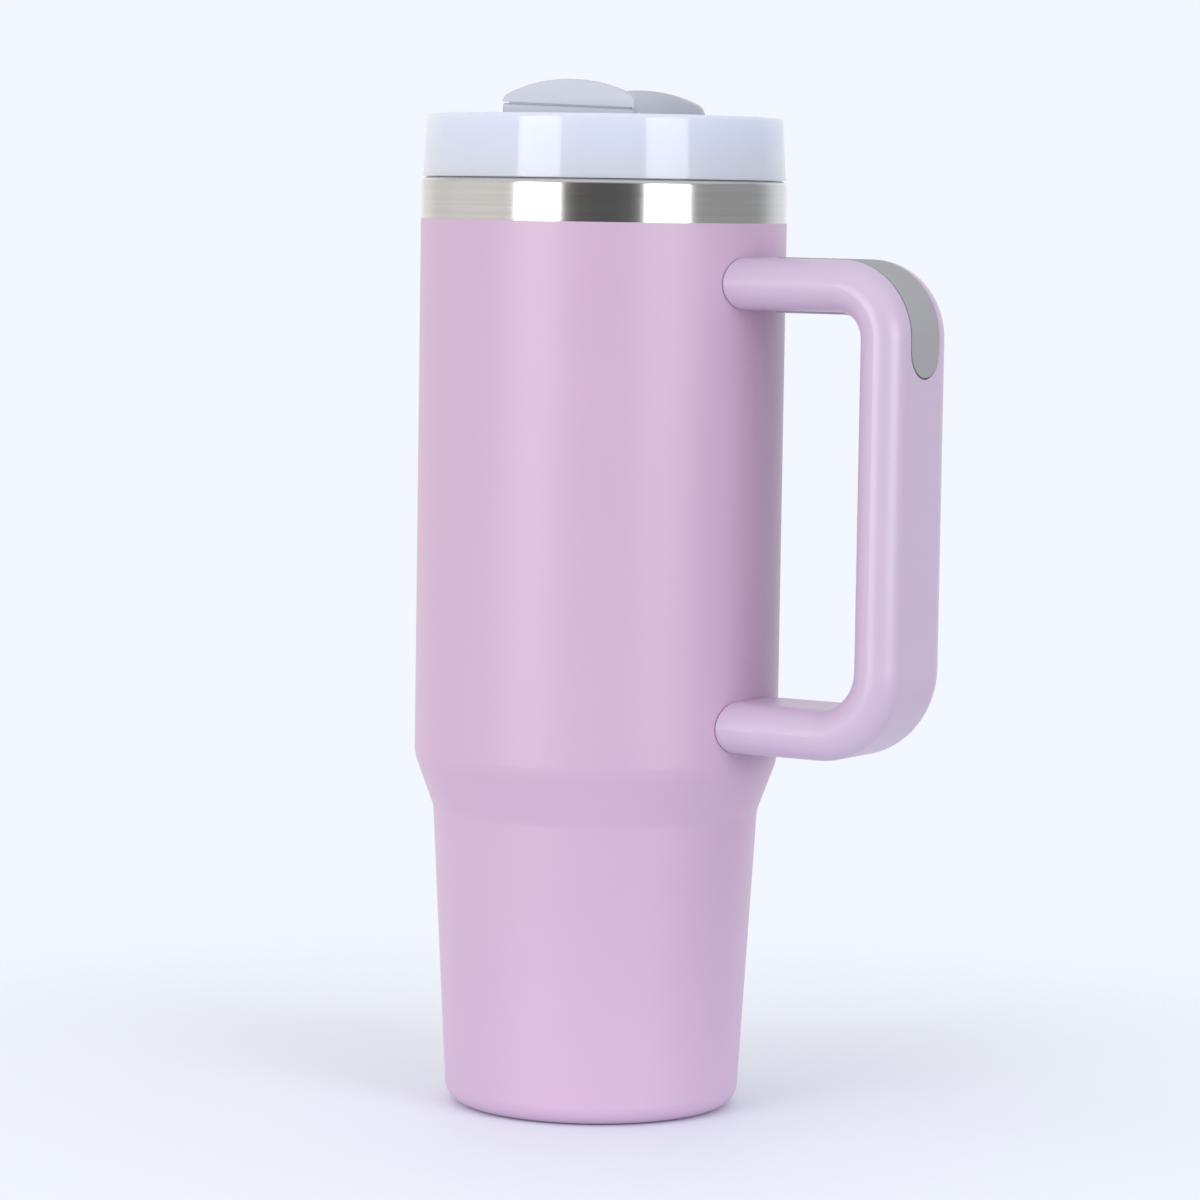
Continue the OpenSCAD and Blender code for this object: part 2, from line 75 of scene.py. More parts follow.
def buildCloudGroup():
    # slow, faint unevenness of a finish: a factor around 0.5
    group, start, end = newGroup(
        "unevenness",
        [("Size", "NodeSocketFloat", 0.02), ("Contrast", "NodeSocketFloat", 1.0)],
        [("Factor", "NodeSocketFloat")])
    coords = addNode(group, "ShaderNodeTexCoord", (-900, 260))
    invert = addNode(group, "ShaderNodeMath", (-700, 60), operation="DIVIDE")
    invert.inputs[0].default_value = 1.0
    noise = addNode(group, "ShaderNodeTexNoise", (-480, 160))
    setInputs(noise, Detail=3.0, Roughness=0.55)
    shift = addNode(group, "ShaderNodeMath", (-260, 120), operation="SUBTRACT")
    shift.inputs[1].default_value = 0.5
    scale = addNode(group, "ShaderNodeMath", (-60, 120), operation="MULTIPLY")
    back = addNode(group, "ShaderNodeMath", (140, 120), operation="ADD", use_clamp=True)
    back.inputs[1].default_value = 0.5
    link = group.links.new
    link(start.outputs["Size"], invert.inputs[1])
    link(coords.outputs["Object"], noise.inputs["Vector"])
    link(invert.outputs[0], noise.inputs["Scale"])
    link(noise.outputs["Fac"], shift.inputs[0])
    link(shift.outputs[0], scale.inputs[0])
    link(start.outputs["Contrast"], scale.inputs[1])
    link(scale.outputs[0], back.inputs[0])
    link(back.outputs[0], end.inputs["Factor"])
    return group


def buildGrainGroup():
    # fine pebbled skin of sprayed powder, moulded plastic or rubber
    group, start, end = newGroup(
        "fineGrain",
        [("Size", "NodeSocketFloat", 0.0004), ("Sharpness", "NodeSocketFloat", 0.5)],
        [("Height", "NodeSocketFloat"), ("Speckle", "NodeSocketFloat")])
    coords = addNode(group, "ShaderNodeTexCoord", (-900, 300))
    invert = addNode(group, "ShaderNodeMath", (-700, 60), operation="DIVIDE")
    invert.inputs[0].default_value = 1.0
    cells = addNode(group, "ShaderNodeTexVoronoi", (-460, 260), feature="SMOOTH_F1")
    cells.inputs["Smoothness"].default_value = 0.6
    noise = addNode(group, "ShaderNodeTexNoise", (-460, -40))
    setInputs(noise, Detail=2.0, Roughness=0.6)
    blend = addNode(group, "ShaderNodeMix", (-160, 140), data_type="FLOAT")
    link = group.links.new
    link(start.outputs["Size"], invert.inputs[1])
    for texture in (cells, noise):
        link(coords.outputs["Object"], texture.inputs["Vector"])
        link(invert.outputs[0], texture.inputs["Scale"])
    link(start.outputs["Sharpness"], blend.inputs["Factor"])
    link(noise.outputs["Fac"], blend.inputs[2])
    link(cells.outputs["Distance"], blend.inputs[3])
    link(blend.outputs[0], end.inputs["Height"])
    link(noise.outputs["Fac"], end.inputs["Speckle"])
    return group


def buildBrushGroup():
    # lines that run round the Z axis, as a lathe or a belt leaves them
    group, start, end = newGroup(
        "turnedLines",
        [("Pitch", "NodeSocketFloat", 0.00025), ("Length", "NodeSocketFloat", 0.03)],
        [("Height", "NodeSocketFloat"), ("Streak", "NodeSocketFloat")])
    coords = addNode(group, "ShaderNodeTexCoord", (-1300, 200))
    split = addNode(group, "ShaderNodeSeparateXYZ", (-1100, 200))
    join = addNode(group, "ShaderNodeCombineXYZ", (-640, 200))
    link = group.links.new
    link(coords.outputs["Object"], split.inputs[0])
    for axis, size in (("X", "Length"), ("Y", "Length"), ("Z", "Pitch")):
        share = addNode(group, "ShaderNodeMath", (-860, 200), operation="DIVIDE")
        link(split.outputs[axis], share.inputs[0])
        link(start.outputs[size], share.inputs[1])
        link(share.outputs[0], join.inputs[axis])
    fine = addNode(group, "ShaderNodeTexNoise", (-380, 280))
    setInputs(fine, Scale=1.0, Detail=3.0, Roughness=0.65)
    broad = addNode(group, "ShaderNodeTexNoise", (-380, -20))
    setInputs(broad, Scale=0.22, Detail=2.0, Roughness=0.5)
    blend = addNode(group, "ShaderNodeMix", (-120, 120), data_type="FLOAT")
    blend.inputs["Factor"].default_value = 0.4
    link(join.outputs[0], fine.inputs["Vector"])
    link(join.outputs[0], broad.inputs["Vector"])
    link(fine.outputs["Fac"], blend.inputs[2])
    link(broad.outputs["Fac"], blend.inputs[3])
    link(blend.outputs[0], end.inputs["Height"])
    link(broad.outputs["Fac"], end.inputs["Streak"])
    return group


cloudGroup = buildCloudGroup()
grainGroup = buildGrainGroup()
brushGroup = buildBrushGroup()
grainDepth = 0.3  # share of a grain's own size
scratchDepth = 0.00003
acrossLines = 0.25  # of a turn: the highlight spreads across the lines


def startMaterial(name, roughness, metallic=0.0, **constants):
    material = bpy.data.materials.new(name)
    material.use_nodes = True
    tree = material.node_tree
    shader = tree.nodes["Principled BSDF"]
    shader.inputs["Roughness"].default_value = roughness
    shader.inputs["Metallic"].default_value = metallic
    setInputs(shader, **constants)
    return material, tree, shader


def useGroup(tree, group, place, **values):
    node = addNode(tree, "ShaderNodeGroup", place, node_tree=group)
    setInputs(node, **values)
    return node


def varyColour(tree, shader, dark, light, factor):
    # the base colour wanders between two near shades
    blend = addNode(tree, "ShaderNodeMix", (-300, 300), data_type="RGBA")
    blend.inputs[6].default_value = (*dark, 1)
    blend.inputs[7].default_value = (*light, 1)
    tree.links.new(factor, blend.inputs["Factor"])
    tree.links.new(blend.outputs[2], shader.inputs["Base Color"])


def varyRoughness(tree, shader, low, high, factor):
    spread = addNode(tree, "ShaderNodeMapRange", (-300, 20))
    spread.inputs["To Min"].default_value = low
    spread.inputs["To Max"].default_value = high
    tree.links.new(factor, spread.inputs["Value"])
    tree.links.new(spread.outputs[0], shader.inputs["Roughness"])


def addBump(tree, shader, height, strength, distance):
    bump = addNode(tree, "ShaderNodeBump", (-300, -260))
    bump.inputs["Strength"].default_value = strength
    bump.inputs["Distance"].default_value = distance
    tree.links.new(height, bump.inputs["Height"])
    tree.links.new(bump.outputs[0], shader.inputs["Normal"])


def grainyFinish(name, look):
    material, tree, shader = startMaterial(name, look["roughness"][0], **look.get("constants", {}))
    cloud = useGroup(tree, cloudGroup, (-700, 200), Size=look["cloudSize"], Contrast=look["contrast"])
    grain = useGroup(tree, grainGroup, (-700, -120), Size=look["grainSize"], Sharpness=look["sharpness"])
    varyColour(tree, shader, look["dark"], look["light"], cloud.outputs["Factor"])
    varyRoughness(tree, shader, *look["roughness"], grain.outputs["Speckle"])
    addBump(tree, shader, grain.outputs["Height"], look["bump"], look["grainSize"] * grainDepth)
    return material


def turnedMetal(name, look):
    material, tree, shader = startMaterial(name, look["roughness"][0], metallic=1.0,
                                           Anisotropic=look["anisotropic"],
                                           Anisotropic_Rotation=acrossLines)
    lines = useGroup(tree, brushGroup, (-700, 0), Pitch=look["pitch"], Length=look["length"])
    varyColour(tree, shader, look["dark"], look["light"], lines.outputs["Streak"])
    varyRoughness(tree, shader, *look["roughness"], lines.outputs["Height"])
    addBump(tree, shader, lines.outputs["Height"], look["bump"], scratchDepth)
    tangent = addNode(tree, "ShaderNodeTangent", (-300, -480), direction_type="RADIAL", axis="Z")
    tree.links.new(tangent.outputs[0], shader.inputs["Tangent"])
    return material


powderCoat = grainyFinish("lavenderPowderCoat", {
    "dark": (0.572, 0.398, 0.570), "light": (0.612, 0.430, 0.608),
    "cloudSize": 0.035, "contrast": 0.7, "roughness": (0.36, 0.46),
    "grainSize": 0.00042, "sharpness": 0.45, "bump": 0.22,
    "constants": {"Sheen_Weight": 0.12, "Sheen_Roughness": 0.3,
                  "Sheen_Tint": (0.88, 0.95, 1.0, 1)}})
handlePlastic = grainyFinish("lavenderHandlePlastic", {
    "dark": (0.582, 0.462, 0.634), "light": (0.620, 0.495, 0.672),
    "cloudSize": 0.03, "contrast": 0.6, "roughness": (0.29, 0.37),
    "grainSize": 0.00055, "sharpness": 0.25, "bump": 0.10})
gripRubber = grainyFinish("greyGripRubber", {
    "dark": (0.345, 0.350, 0.372), "light": (0.385, 0.390, 0.412),
    "cloudSize": 0.012, "contrast": 0.8, "roughness": (0.55, 0.68),
    "grainSize": 0.00035, "sharpness": 0.6, "bump": 0.25})
dialPlastic = grainyFinish("paleGreyDialPlastic", {
    "dark": (0.472, 0.503, 0.590), "light": (0.500, 0.530, 0.618),
    "cloudSize": 0.02, "contrast": 0.6, "roughness": (0.30, 0.40),
    "grainSize": 0.0005, "sharpness": 0.3, "bump": 0.08})
lidPlastic = grainyFinish("milkyLidPlastic", {
    "dark": (0.632, 0.676, 0.838), "light": (0.652, 0.696, 0.856),
    "cloudSize": 0.03, "contrast": 0.5, "roughness": (0.07, 0.11),
    "grainSize": 0.0012, "sharpness": 0.2, "bump": 0.03,
    "constants": {"Subsurface_Weight": 0.7, "Subsurface_Radius": (0.007, 0.007, 0.008),
                  "Subsurface_Scale": 1.0, "IOR": 1.45, "Sheen_Weight": 0.3,
                  "Sheen_Roughness": 0.3, "Sheen_Tint": (0.88, 0.94, 1.0, 1)}})
softSilicone = grainyFinish("greyGasketSilicone", {
    "dark": (0.50, 0.51, 0.54), "light": (0.55, 0.56, 0.59),
    "cloudSize": 0.01, "contrast": 0.7, "roughness": (0.38, 0.50),
    "grainSize": 0.0004, "sharpness": 0.3, "bump": 0.10,
    "constants": {"Subsurface_Weight": 0.2, "Subsurface_Radius": (0.002, 0.002, 0.002),
                  "Subsurface_Scale": 1.0}})
sealBead = grainyFinish("greySealBead", {
    "dark": (0.10, 0.10, 0.11), "light": (0.17, 0.17, 0.18),
    "cloudSize": 0.002, "contrast": 1.6, "roughness": (0.30, 0.48),
    "grainSize": 0.0006, "sharpness": 0.4, "bump": 0.5})
getterMetal = grainyFinish("darkGetterPill", {
    "dark": (0.05, 0.05, 0.055), "light": (0.09, 0.09, 0.095),
    "cloudSize": 0.002, "contrast": 1.4, "roughness": (0.6, 0.8),
    "grainSize": 0.0003, "sharpness": 0.7, "bump": 0.6})
brushedSteel = turnedMetal("brushedSteel", {
    "dark": (0.55, 0.54, 0.533), "light": (0.67, 0.66, 0.65),
    "pitch": 0.00016, "length": 0.022, "roughness": (0.15, 0.24),
    "anisotropic": 0.75, "bump": 0.2})
linerSteel = turnedMetal("turnedLinerSteel", {
    "dark": (0.56, 0.555, 0.55), "light": (0.66, 0.655, 0.65),
    "pitch": 0.0005, "length": 0.08, "roughness": (0.22, 0.36),
    "anisotropic": 0.6, "bump": 0.3})
screwSteel = turnedMetal("plainScrewSteel", {
    "dark": (0.48, 0.48, 0.49), "light": (0.60, 0.60, 0.61),
    "pitch": 0.0003, "length": 0.004, "roughness": (0.28, 0.40),
    "anisotropic": 0.2, "bump": 0.2})
copperFoil = turnedMetal("thinCopper", {
    "dark": (0.72, 0.36, 0.22), "light": (0.86, 0.47, 0.31),
    "pitch": 0.003, "length": 0.006, "roughness": (0.24, 0.40),
    "anisotropic": 0.2, "bump": 0.6})
print("finishes made")


# shapes are drawn in millimetres, and finishPiece brings them to metres
near = 0.01  # places closer than this count as one
fullRound = 0.01  # what a full round keeps back, so that its two ends stay apart


def outlineFace(bm, corners, segments):
    # corners are (across, up) or (across, up, fillet radius), in the XZ plane
    verts = [bm.verts.new((c[0], 0, c[1])) for c in corners]
    bm.faces.new(verts)
    for i, corner in enumerate(corners):
        if len(corner) < 3:
            continue
        here = Vector(corner[:2])
        before = (Vector(corners[i - 1][:2]) - here).normalized()
        after = (Vector(corners[(i + 1) % len(corners)][:2]) - here).normalized()
        reach = corner[2] / tan(acos(before.dot(after)) / 2)
        bmesh.ops.bevel(bm, geom=[verts[i]], offset=reach, offset_type="OFFSET", segments=segments,
                        profile=0.5, affect="VERTICES", material=-1)


def turned(corners, steps=128, segments=6, centre=(0, 0, 0)):
    # a closed outline spun into a solid round the vertical line through centre
    bm = bmesh.new()
    outlineFace(bm, corners, segments)
    bmesh.ops.delete(bm, geom=bm.faces[:], context="FACES_ONLY")
    axisEdges = [e for e in bm.edges if all(v.co.x < 1e-6 for v in e.verts)]
    bmesh.ops.delete(bm, geom=axisEdges, context="EDGES")
    bmesh.ops.translate(bm, vec=centre, verts=bm.verts[:])
    bmesh.ops.spin(bm, geom=bm.edges[:] + bm.verts[:], cent=centre, axis=(0, 0, 1), angle=2 * pi,
                   steps=steps, use_merge=True, use_duplicate=False)
    return tidy(bm)


def tidy(bm):
    bmesh.ops.remove_doubles(bm, verts=bm.verts[:], dist=1e-4)
    bmesh.ops.dissolve_degenerate(bm, edges=bm.edges[:], dist=1e-5)
    bmesh.ops.recalc_face_normals(bm, faces=bm.faces[:])
    return bm


def pulledOut(bm, by):
    # extrudes every face and moves the new ones
    made = bmesh.ops.extrude_face_region(bm, geom=bm.faces[:])["geom"]
    bmesh.ops.translate(bm, vec=by, verts=[g for g in made if isinstance(g, bmesh.types.BMVert)])
    return tidy(bm)


def raised(corners, thickness, segments):
    # a flat outline in XZ, pulled out along Y by thickness, centred on Y = 0
    bm = bmesh.new()
    outlineFace(bm, corners, segments)
    bmesh.ops.translate(bm, vec=(0, -thickness / 2, 0), verts=bm.verts[:])
    return pulledOut(bm, (0, thickness, 0))


def turnedBy(bm, degrees, axis="Z"):
    bmesh.ops.rotate(bm, cent=(0, 0, 0), matrix=Matrix.Rotation(radians(degrees), 3, axis),
                     verts=bm.verts[:])
    return bm


def roundEnded(first, last, half, low, high, segments):
    # a flat tongue along X with round ends, from low to high
    corners = [(first, -half, half - fullRound), (last, -half, half - fullRound),
               (last, half, half - fullRound), (first, half, half - fullRound)]
    bm = turnedBy(raised(corners, high - low, segments), 90, "X")
    bmesh.ops.translate(bm, vec=(0, 0, (low + high) / 2), verts=bm.verts[:])
    return bm


def cutAcross(bm, axis, places):
    # adds loops where a shape is going to bend
    for place in places:
        point = Vector((0, 0, 0))
        normal = Vector((0, 0, 0))
        point[axis] = place
        normal[axis] = 1
        bmesh.ops.bisect_plane(bm, geom=bm.verts[:] + bm.edges[:] + bm.faces[:], dist=1e-5,
                               plane_co=point, plane_no=normal)


def bendBy(bm, rule):
    for vert in bm.verts:
        vert.co = Vector(rule(*vert.co))
    bmesh.ops.recalc_face_normals(bm, faces=bm.faces[:])


def roundEdges(bm, edges, width, segments):
    bmesh.ops.bevel(bm, geom=edges, offset=width, offset_type="OFFSET", segments=segments,
                    profile=0.5, affect="EDGES", material=-1, clamp_overlap=True)


def sharpEdges(bm, degrees):
    return [e for e in bm.edges if len(e.link_faces) == 2 and e.calc_face_angle(0) > radians(degrees)]


def levelParts(parts, height):
    # the edges or faces that lie flat at one height
    return [p for p in parts if all(abs(v.co.z - height) < 1e-4 for v in p.verts)]


def meshObject(name, bm):
    mesh = bpy.data.meshes.new(name)
    bm.to_mesh(mesh)
    bm.free()
    made = bpy.data.objects.new(name, mesh)
    bpy.context.scene.collection.objects.link(made)
    return made


def cutWith(bm, cutters):
    # takes other shapes away from this one
    host = meshObject("host", bm)
    for cutter in cutters:
        tool = meshObject("tool", cutter)
        change = host.modifiers.new("cut", "BOOLEAN")
        change.operation = "DIFFERENCE"
        change.solver = "EXACT"
        change.object = tool
        graph = bpy.context.evaluated_depsgraph_get()
        result = bpy.data.meshes.new_from_object(host.evaluated_get(graph))
        host.modifiers.clear()
        host.data = result
        bpy.data.objects.remove(tool)
    bm = bmesh.new()
    bm.from_mesh(host.data)
    bpy.data.objects.remove(host)
    return tidy(bm)


def finishPiece(name, bm, materials, body, nodes, sharp=32):
    bmesh.ops.scale(bm, vec=(mm, mm, mm), verts=bm.verts[:])
    for face in bm.faces:
        face.smooth = True
    for edge in bm.edges:
        edge.smooth = edge.calc_face_angle(pi) < radians(sharp)
    piece = meshObject(name, bm)
    for material in materials:
        piece.data.materials.append(material)
    evenShade = piece.modifiers.new("evenShade", "WEIGHTED_NORMAL")
    evenShade.keep_sharp = True
    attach(piece, body)
    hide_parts(*nodes)
    print("made", name, len(piece.data.polygons), "faces")


vessel = {
    "body": 49.0, "steel": 48.85, "shellInside": 48.05, "linerOut": 44.65, "linerIn": 43.95,
    "waist": 43.8, "foot": 39.4, "ringInside": 31.0, "footCorner": 5.5, "standEdge": 0.4,
    "shoulderLow": 80.3, "shoulderTop": 94.5, "waistRound": 5, "shoulderRound": 12,
    "bandDrop": 11.2, "coatEdge": 0.12, "rimEdge": 1.5, "lipInside": 1.1, "wall": 0.8,
    "recess": 2.5, "recessCoat": 0.5, "linerUnder": 10.3, "linerFloor": 11.0, "linerLift": 2.0,
    "linerFoot": 8.0, "linerWall": 0.7, "linerShort": 0.02, "linerLip": 0.3,
}
basePlate = {
    "pumpHole": 1.2, "dimple": 1.8, "dimpleFlat": 6, "dimpleFoot": 7.5, "flatEdge": 0.5,
    "footEdge": 0.6, "fit": 0.02,
}
sealBeadSizes = {
    "low": 0.6, "radius": 5.0, "edge": 0.5, "plug": 1.2, "thick": 1.2, "reach": 2.0,
}


def makeShell(v):
    band = rimHeight - v["bandDrop"]
    inset = v["body"] - v["shellInside"]
    outline = [
        (v["ringInside"], 0, v["standEdge"]), (v["foot"], 0, v["footCorner"]),
        (v["waist"], v["shoulderLow"], v["waistRound"]),
        (v["body"], v["shoulderTop"], v["shoulderRound"]),
        (v["body"], band, v["coatEdge"]), (v["steel"], band), (v["steel"], rimHeight, v["rimEdge"]),
        (v["linerOut"], rimHeight), (v["linerOut"], rimHeight - v["wall"]),
        (v["shellInside"], rimHeight - v["wall"], v["lipInside"]),
        (v["shellInside"], v["shoulderTop"], v["shoulderRound"]),
        (v["waist"] - inset, v["shoulderLow"], v["waistRound"]),
        (v["foot"] - inset, v["wall"], v["footCorner"] - v["wall"]),
        (v["ringInside"] + v["wall"], v["wall"]),
        (v["ringInside"] + v["wall"], v["recess"] + v["wall"]),
        (v["ringInside"], v["recess"] + v["wall"])]
    bm = turned(outline, steps=160, segments=10)
    # powder lies on what faces outwards or down below the bare band, and inside the foot's recess
    for face in bm.faces:
        middle = face.calc_center_median()
        outward = face.normal.x * middle.x + face.normal.y * middle.y
        facesDown = face.normal.z < -0.3
        coated = middle.z < band + near and (outward > near or facesDown)
        inRecess = hypot(middle.x, middle.y) < v["ringInside"] + v["recessCoat"]
        if middle.z < v["recess"] and inRecess:
            coated = True
        face.material_index = 0 if coated else 1
    finishPiece("coatedShell", bm, [powderCoat, brushedSteel], "vessel",
                ["outer_shell"])


def makeLiner(v):
    gap = v["body"] - v["linerOut"]
    skin = v["body"] - v["linerIn"]
    low = v["shoulderLow"] + v["linerLift"]
    high = v["shoulderTop"] + v["linerLift"]
    top = rimHeight - v["linerShort"]
    outline = [
        (0, v["linerUnder"]), (v["foot"] - gap, v["linerUnder"], v["linerFoot"]),
        (v["waist"] - gap, low, v["waistRound"]), (v["linerOut"], high, v["shoulderRound"]),
        (v["linerOut"], top), (v["linerIn"], top, v["linerLip"]),
        (v["linerIn"], high, v["shoulderRound"]), (v["waist"] - skin, low, v["waistRound"]),
        (v["foot"] - skin, v["linerFloor"], v["linerFoot"] - v["linerWall"]), (0, v["linerFloor"])]
    finishPiece("turnedLiner", turned(outline, steps=128, segments=8), [linerSteel], "vessel",
                ["inner_liner"])


def makeBasePlate(v, b):
    low, high = v["recess"], v["recess"] + v["wall"]
    outside = v["ringInside"] - b["fit"]
    outline = [
        (b["pumpHole"], low + b["dimple"]), (b["dimpleFlat"], low + b["dimple"], b["flatEdge"]),
        (b["dimpleFoot"], low, b["footEdge"]), (outside, low), (outside, high),
        (b["dimpleFoot"], high, b["footEdge"]), (b["dimpleFlat"], high + b["dimple"], b["flatEdge"]),
        (b["pumpHole"], high + b["dimple"])]
    finishPiece("pressedBasePlate", turned(outline, steps=96, segments=4), [linerSteel],
                "vessel", ["base_plate"])


def makeSealBead(v, b):
    low = v["recess"] + b["low"]
    outline = [
        (0, low), (b["radius"], low, b["edge"]), (b["radius"], low + b["thick"]),
        (b["plug"], low + b["thick"]), (b["plug"], low + b["reach"]), (0, low + b["reach"])]
    finishPiece("vacuumSealBead", turned(outline, steps=48, segments=5), [sealBead],
                "vessel", ["vacuum_seal"])


makeShell(vessel)
makeLiner(vessel)
makeBasePlate(vessel, basePlate)
makeSealBead(vessel, sealBeadSizes)


handle = {
    "grip": 92.0, "width": 31.0, "depth": 14.0, "wall": 2.6, "upperArm": 222.7, "lowerArm": 106.0,
    "upperBend": 13.5, "lowerBend": 17.5, "saddle": 49.2, "armStart": 46.5, "settled": 53.0,
    "endRound": 0.35, "plugAt": 62.0, "plugHole": 3.8, "plugDepth": 1.4, "crown": 0.10,
    "bendSteps": 18, "overrun": 3, "parting": 0.5,
}
strips = {
    "width": 14.4, "thick": 1.4, "gap": 0.35, "spare": 0.1, "from": 55.0, "endHeight": 199.4,
    "proud": 0.5, "edge": 0.3, "flare": 0.4, "flareSteps": 4, "clear": 2.0,
}


def handleRuns(h):
    # lengths along the centre line: upper arm, upper bend, grip, lower bend, lower arm
    upper = h["grip"] - h["upperBend"] - h["armStart"]
    lower = h["grip"] - h["lowerBend"] - h["armStart"]
    gripLength = h["upperArm"] - h["upperBend"] - h["lowerArm"] - h["lowerBend"]
    return [upper, pi / 2 * h["upperBend"], gripLength, pi / 2 * h["lowerBend"], lower]


runs = handleRuns(handle)
marks = [sum(runs[:i]) for i in range(6)]


def followHandle(along, across, out):
    # from flat handle space to the frame: along the centre line, across it, and out from it
    h = handle
    saddleX = sqrt(h["saddle"] ** 2 - across ** 2)
    out *= 1 - h["crown"] * (across * 2 / h["width"]) ** 2  # the broad faces are a little crowned

    def armX(x):
        # the arm's root is drawn onto the body's curve
        if x >= h["settled"]:
            return x
        share = (x - h["armStart"]) / (h["settled"] - h["armStart"])
        return saddleX + (h["settled"] - saddleX) * share

    if along <= marks[1]:
        return (armX(h["armStart"] + along), across, h["upperArm"] + out)
    if along <= marks[2]:
        turn = (along - marks[1]) / h["upperBend"]
        reach = h["upperBend"] + out
        return (h["grip"] - h["upperBend"] + reach * sin(turn), across,
                h["upperArm"] - h["upperBend"] + reach * cos(turn))
    if along <= marks[3]:
        return (h["grip"] + out, across, h["upperArm"] - h["upperBend"] - (along - marks[2]))
    if along <= marks[4]:
        turn = (along - marks[3]) / h["lowerBend"]
        reach = h["lowerBend"] + out
        return (h["grip"] - h["lowerBend"] + reach * cos(turn), across,
                h["lowerArm"] + h["lowerBend"] - reach * sin(turn))
    return (armX(h["grip"] - h["lowerBend"] - (along - marks[4])), across, h["lowerArm"] - out)


def bendStations(first, last):
    steps = handle["bendSteps"]
    rooted = handle["settled"] - handle["armStart"]
    places = [marks[bend] + runs[bend] * i / steps for bend in (1, 3) for i in range(steps + 1)]
    places += [rooted, marks[5] - rooted]
    return [p for p in places if first + near < p < last - near]


stripFirst = strips["from"] - handle["armStart"]
stripLast = marks[2] + (handle["upperArm"] - handle["upperBend"] - strips["endHeight"])


def stripBlank(spare, low, high):
    return roundEnded(stripFirst - spare, stripLast + spare, strips["width"] / 2 + spare, low, high, 10)


def pocketShape(side):
    # the room for a strip, whose mouth is rounded over
    s = strips
    surface = handle["depth"] / 2
    start = surface - s["flare"]
    bm = stripBlank(s["gap"], surface - s["thick"] - s["spare"], start)
    top = levelParts(bm.faces, start)
    spine = (stripFirst + s["width"] / 2, stripLast - s["width"] / 2)
    angles = [pi / 2 * i / s["flareSteps"] for i in range(s["flareSteps"] + 1)]
    growths = [(s["flare"] * (cos(a) - cos(b)), s["flare"] * (sin(b) - sin(a)))
               for a, b in zip(angles, angles[1:])] + [(0, s["clear"])]
    for wider, higher in growths:
        made = bmesh.ops.extrude_face_region(bm, geom=top)["geom"]
        bmesh.ops.delete(bm, geom=top, context="FACES_ONLY")
        top = [g for g in made if isinstance(g, bmesh.types.BMFace)]
        for vert in [g for g in made if isinstance(g, bmesh.types.BMVert)]:
            middle = max(spine[0], min(spine[1], vert.co.x))
            outward = Vector((vert.co.x - middle, vert.co.y, 0)).normalized()
            vert.co += outward * wider + Vector((0, 0, higher))
    bmesh.ops.scale(bm, vec=(1, 1, side), verts=bm.verts[:])
    return tidy(bm)


def halfSolid(width, depth, side, first, last):
    # half of a section with fully rounded sides; side 1 is the outer half and -1 the inner one
    rounding = depth / 2 - fullRound
    corners = [(-width / 2, 0), (width / 2, 0), (width / 2, side * depth / 2, rounding),
               (-width / 2, side * depth / 2, rounding)]
    bm = raised(corners, last - first, 14)
    bmesh.ops.translate(bm, vec=(0, -(first + last) / 2, 0), verts=bm.verts[:])
    return tidy(turnedBy(bm, 90))  # now X runs along the handle, Y across it and Z out


def roundDrill(radius, low, high, along):
    bm = bmesh.new()
    bmesh.ops.create_circle(bm, cap_ends=True, segments=32, radius=radius)
    pulledOut(bm, (0, 0, high - low))
    bmesh.ops.translate(bm, vec=(along, 0, low), verts=bm.verts[:])
    return bm


def makeHandleHalf(side):
    h = handle
    outer = halfSolid(h["width"], h["depth"], side, 0, marks[5])
    ends = []
    for edge in outer.edges:
        atEnd = any(all(abs(v.co.x - place) < near for v in edge.verts) for place in (0, marks[5]))
        if atEnd and max(abs(v.co.z) for v in edge.verts) > near:
            ends.append(edge)
    roundEdges(outer, ends, h["endRound"], 2)
    hollowW, hollowD = h["width"] - 2 * h["wall"], h["depth"] - 2 * h["wall"]
    hollow = halfSolid(hollowW, hollowD, side, -h["overrun"], marks[5] + h["overrun"])
    for vert in hollow.verts:
        if abs(vert.co.z) < near:
            vert.co.z = -side * h["parting"]  # the hollow breaks through the parting face
    cutters = [hollow, pocketShape(side)]
    if side > 0:
        surface = h["depth"] / 2
        cutters.append(roundDrill(h["plugHole"], surface - h["plugDepth"], surface + strips["clear"],
                                  marks[5] - (h["plugAt"] - h["armStart"])))
        name, node = "handleOuterHalf", "handle_outer_half"
    else:
        name, node = "handleInnerHalf", "handle_inner_half"
    bm = cutWith(outer, cutters)
    cutAcross(bm, 0, bendStations(0, marks[5]))
    bmesh.ops.triangulate(bm, faces=[f for f in bm.faces if len(f.verts) > 4])
    bendBy(bm, followHandle)
    finishPiece(name, bm, [handlePlastic], "vessel", [node])


def makeStrip(name, node, low, high, seen):
    bm = stripBlank(0, low, high)
    bmesh.ops.recalc_face_normals(bm, faces=bm.faces[:])
    roundEdges(bm, levelParts(bm.edges, seen), strips["edge"], 3)
    cutAcross(bm, 0, bendStations(stripFirst, stripLast))
    bendBy(bm, followHandle)
    finishPiece(name, bm, [gripRubber], "vessel", [node])


makeHandleHalf(1)
makeHandleHalf(-1)
halfDepth = handle["depth"] / 2
makeStrip("topGripStrip", "top_grip_strip", halfDepth - strips["thick"], halfDepth, halfDepth)
makeStrip("underGripStrip", "under_grip_strip", -halfDepth - strips["proud"],
          strips["thick"] - halfDepth, -halfDepth - strips["proud"])


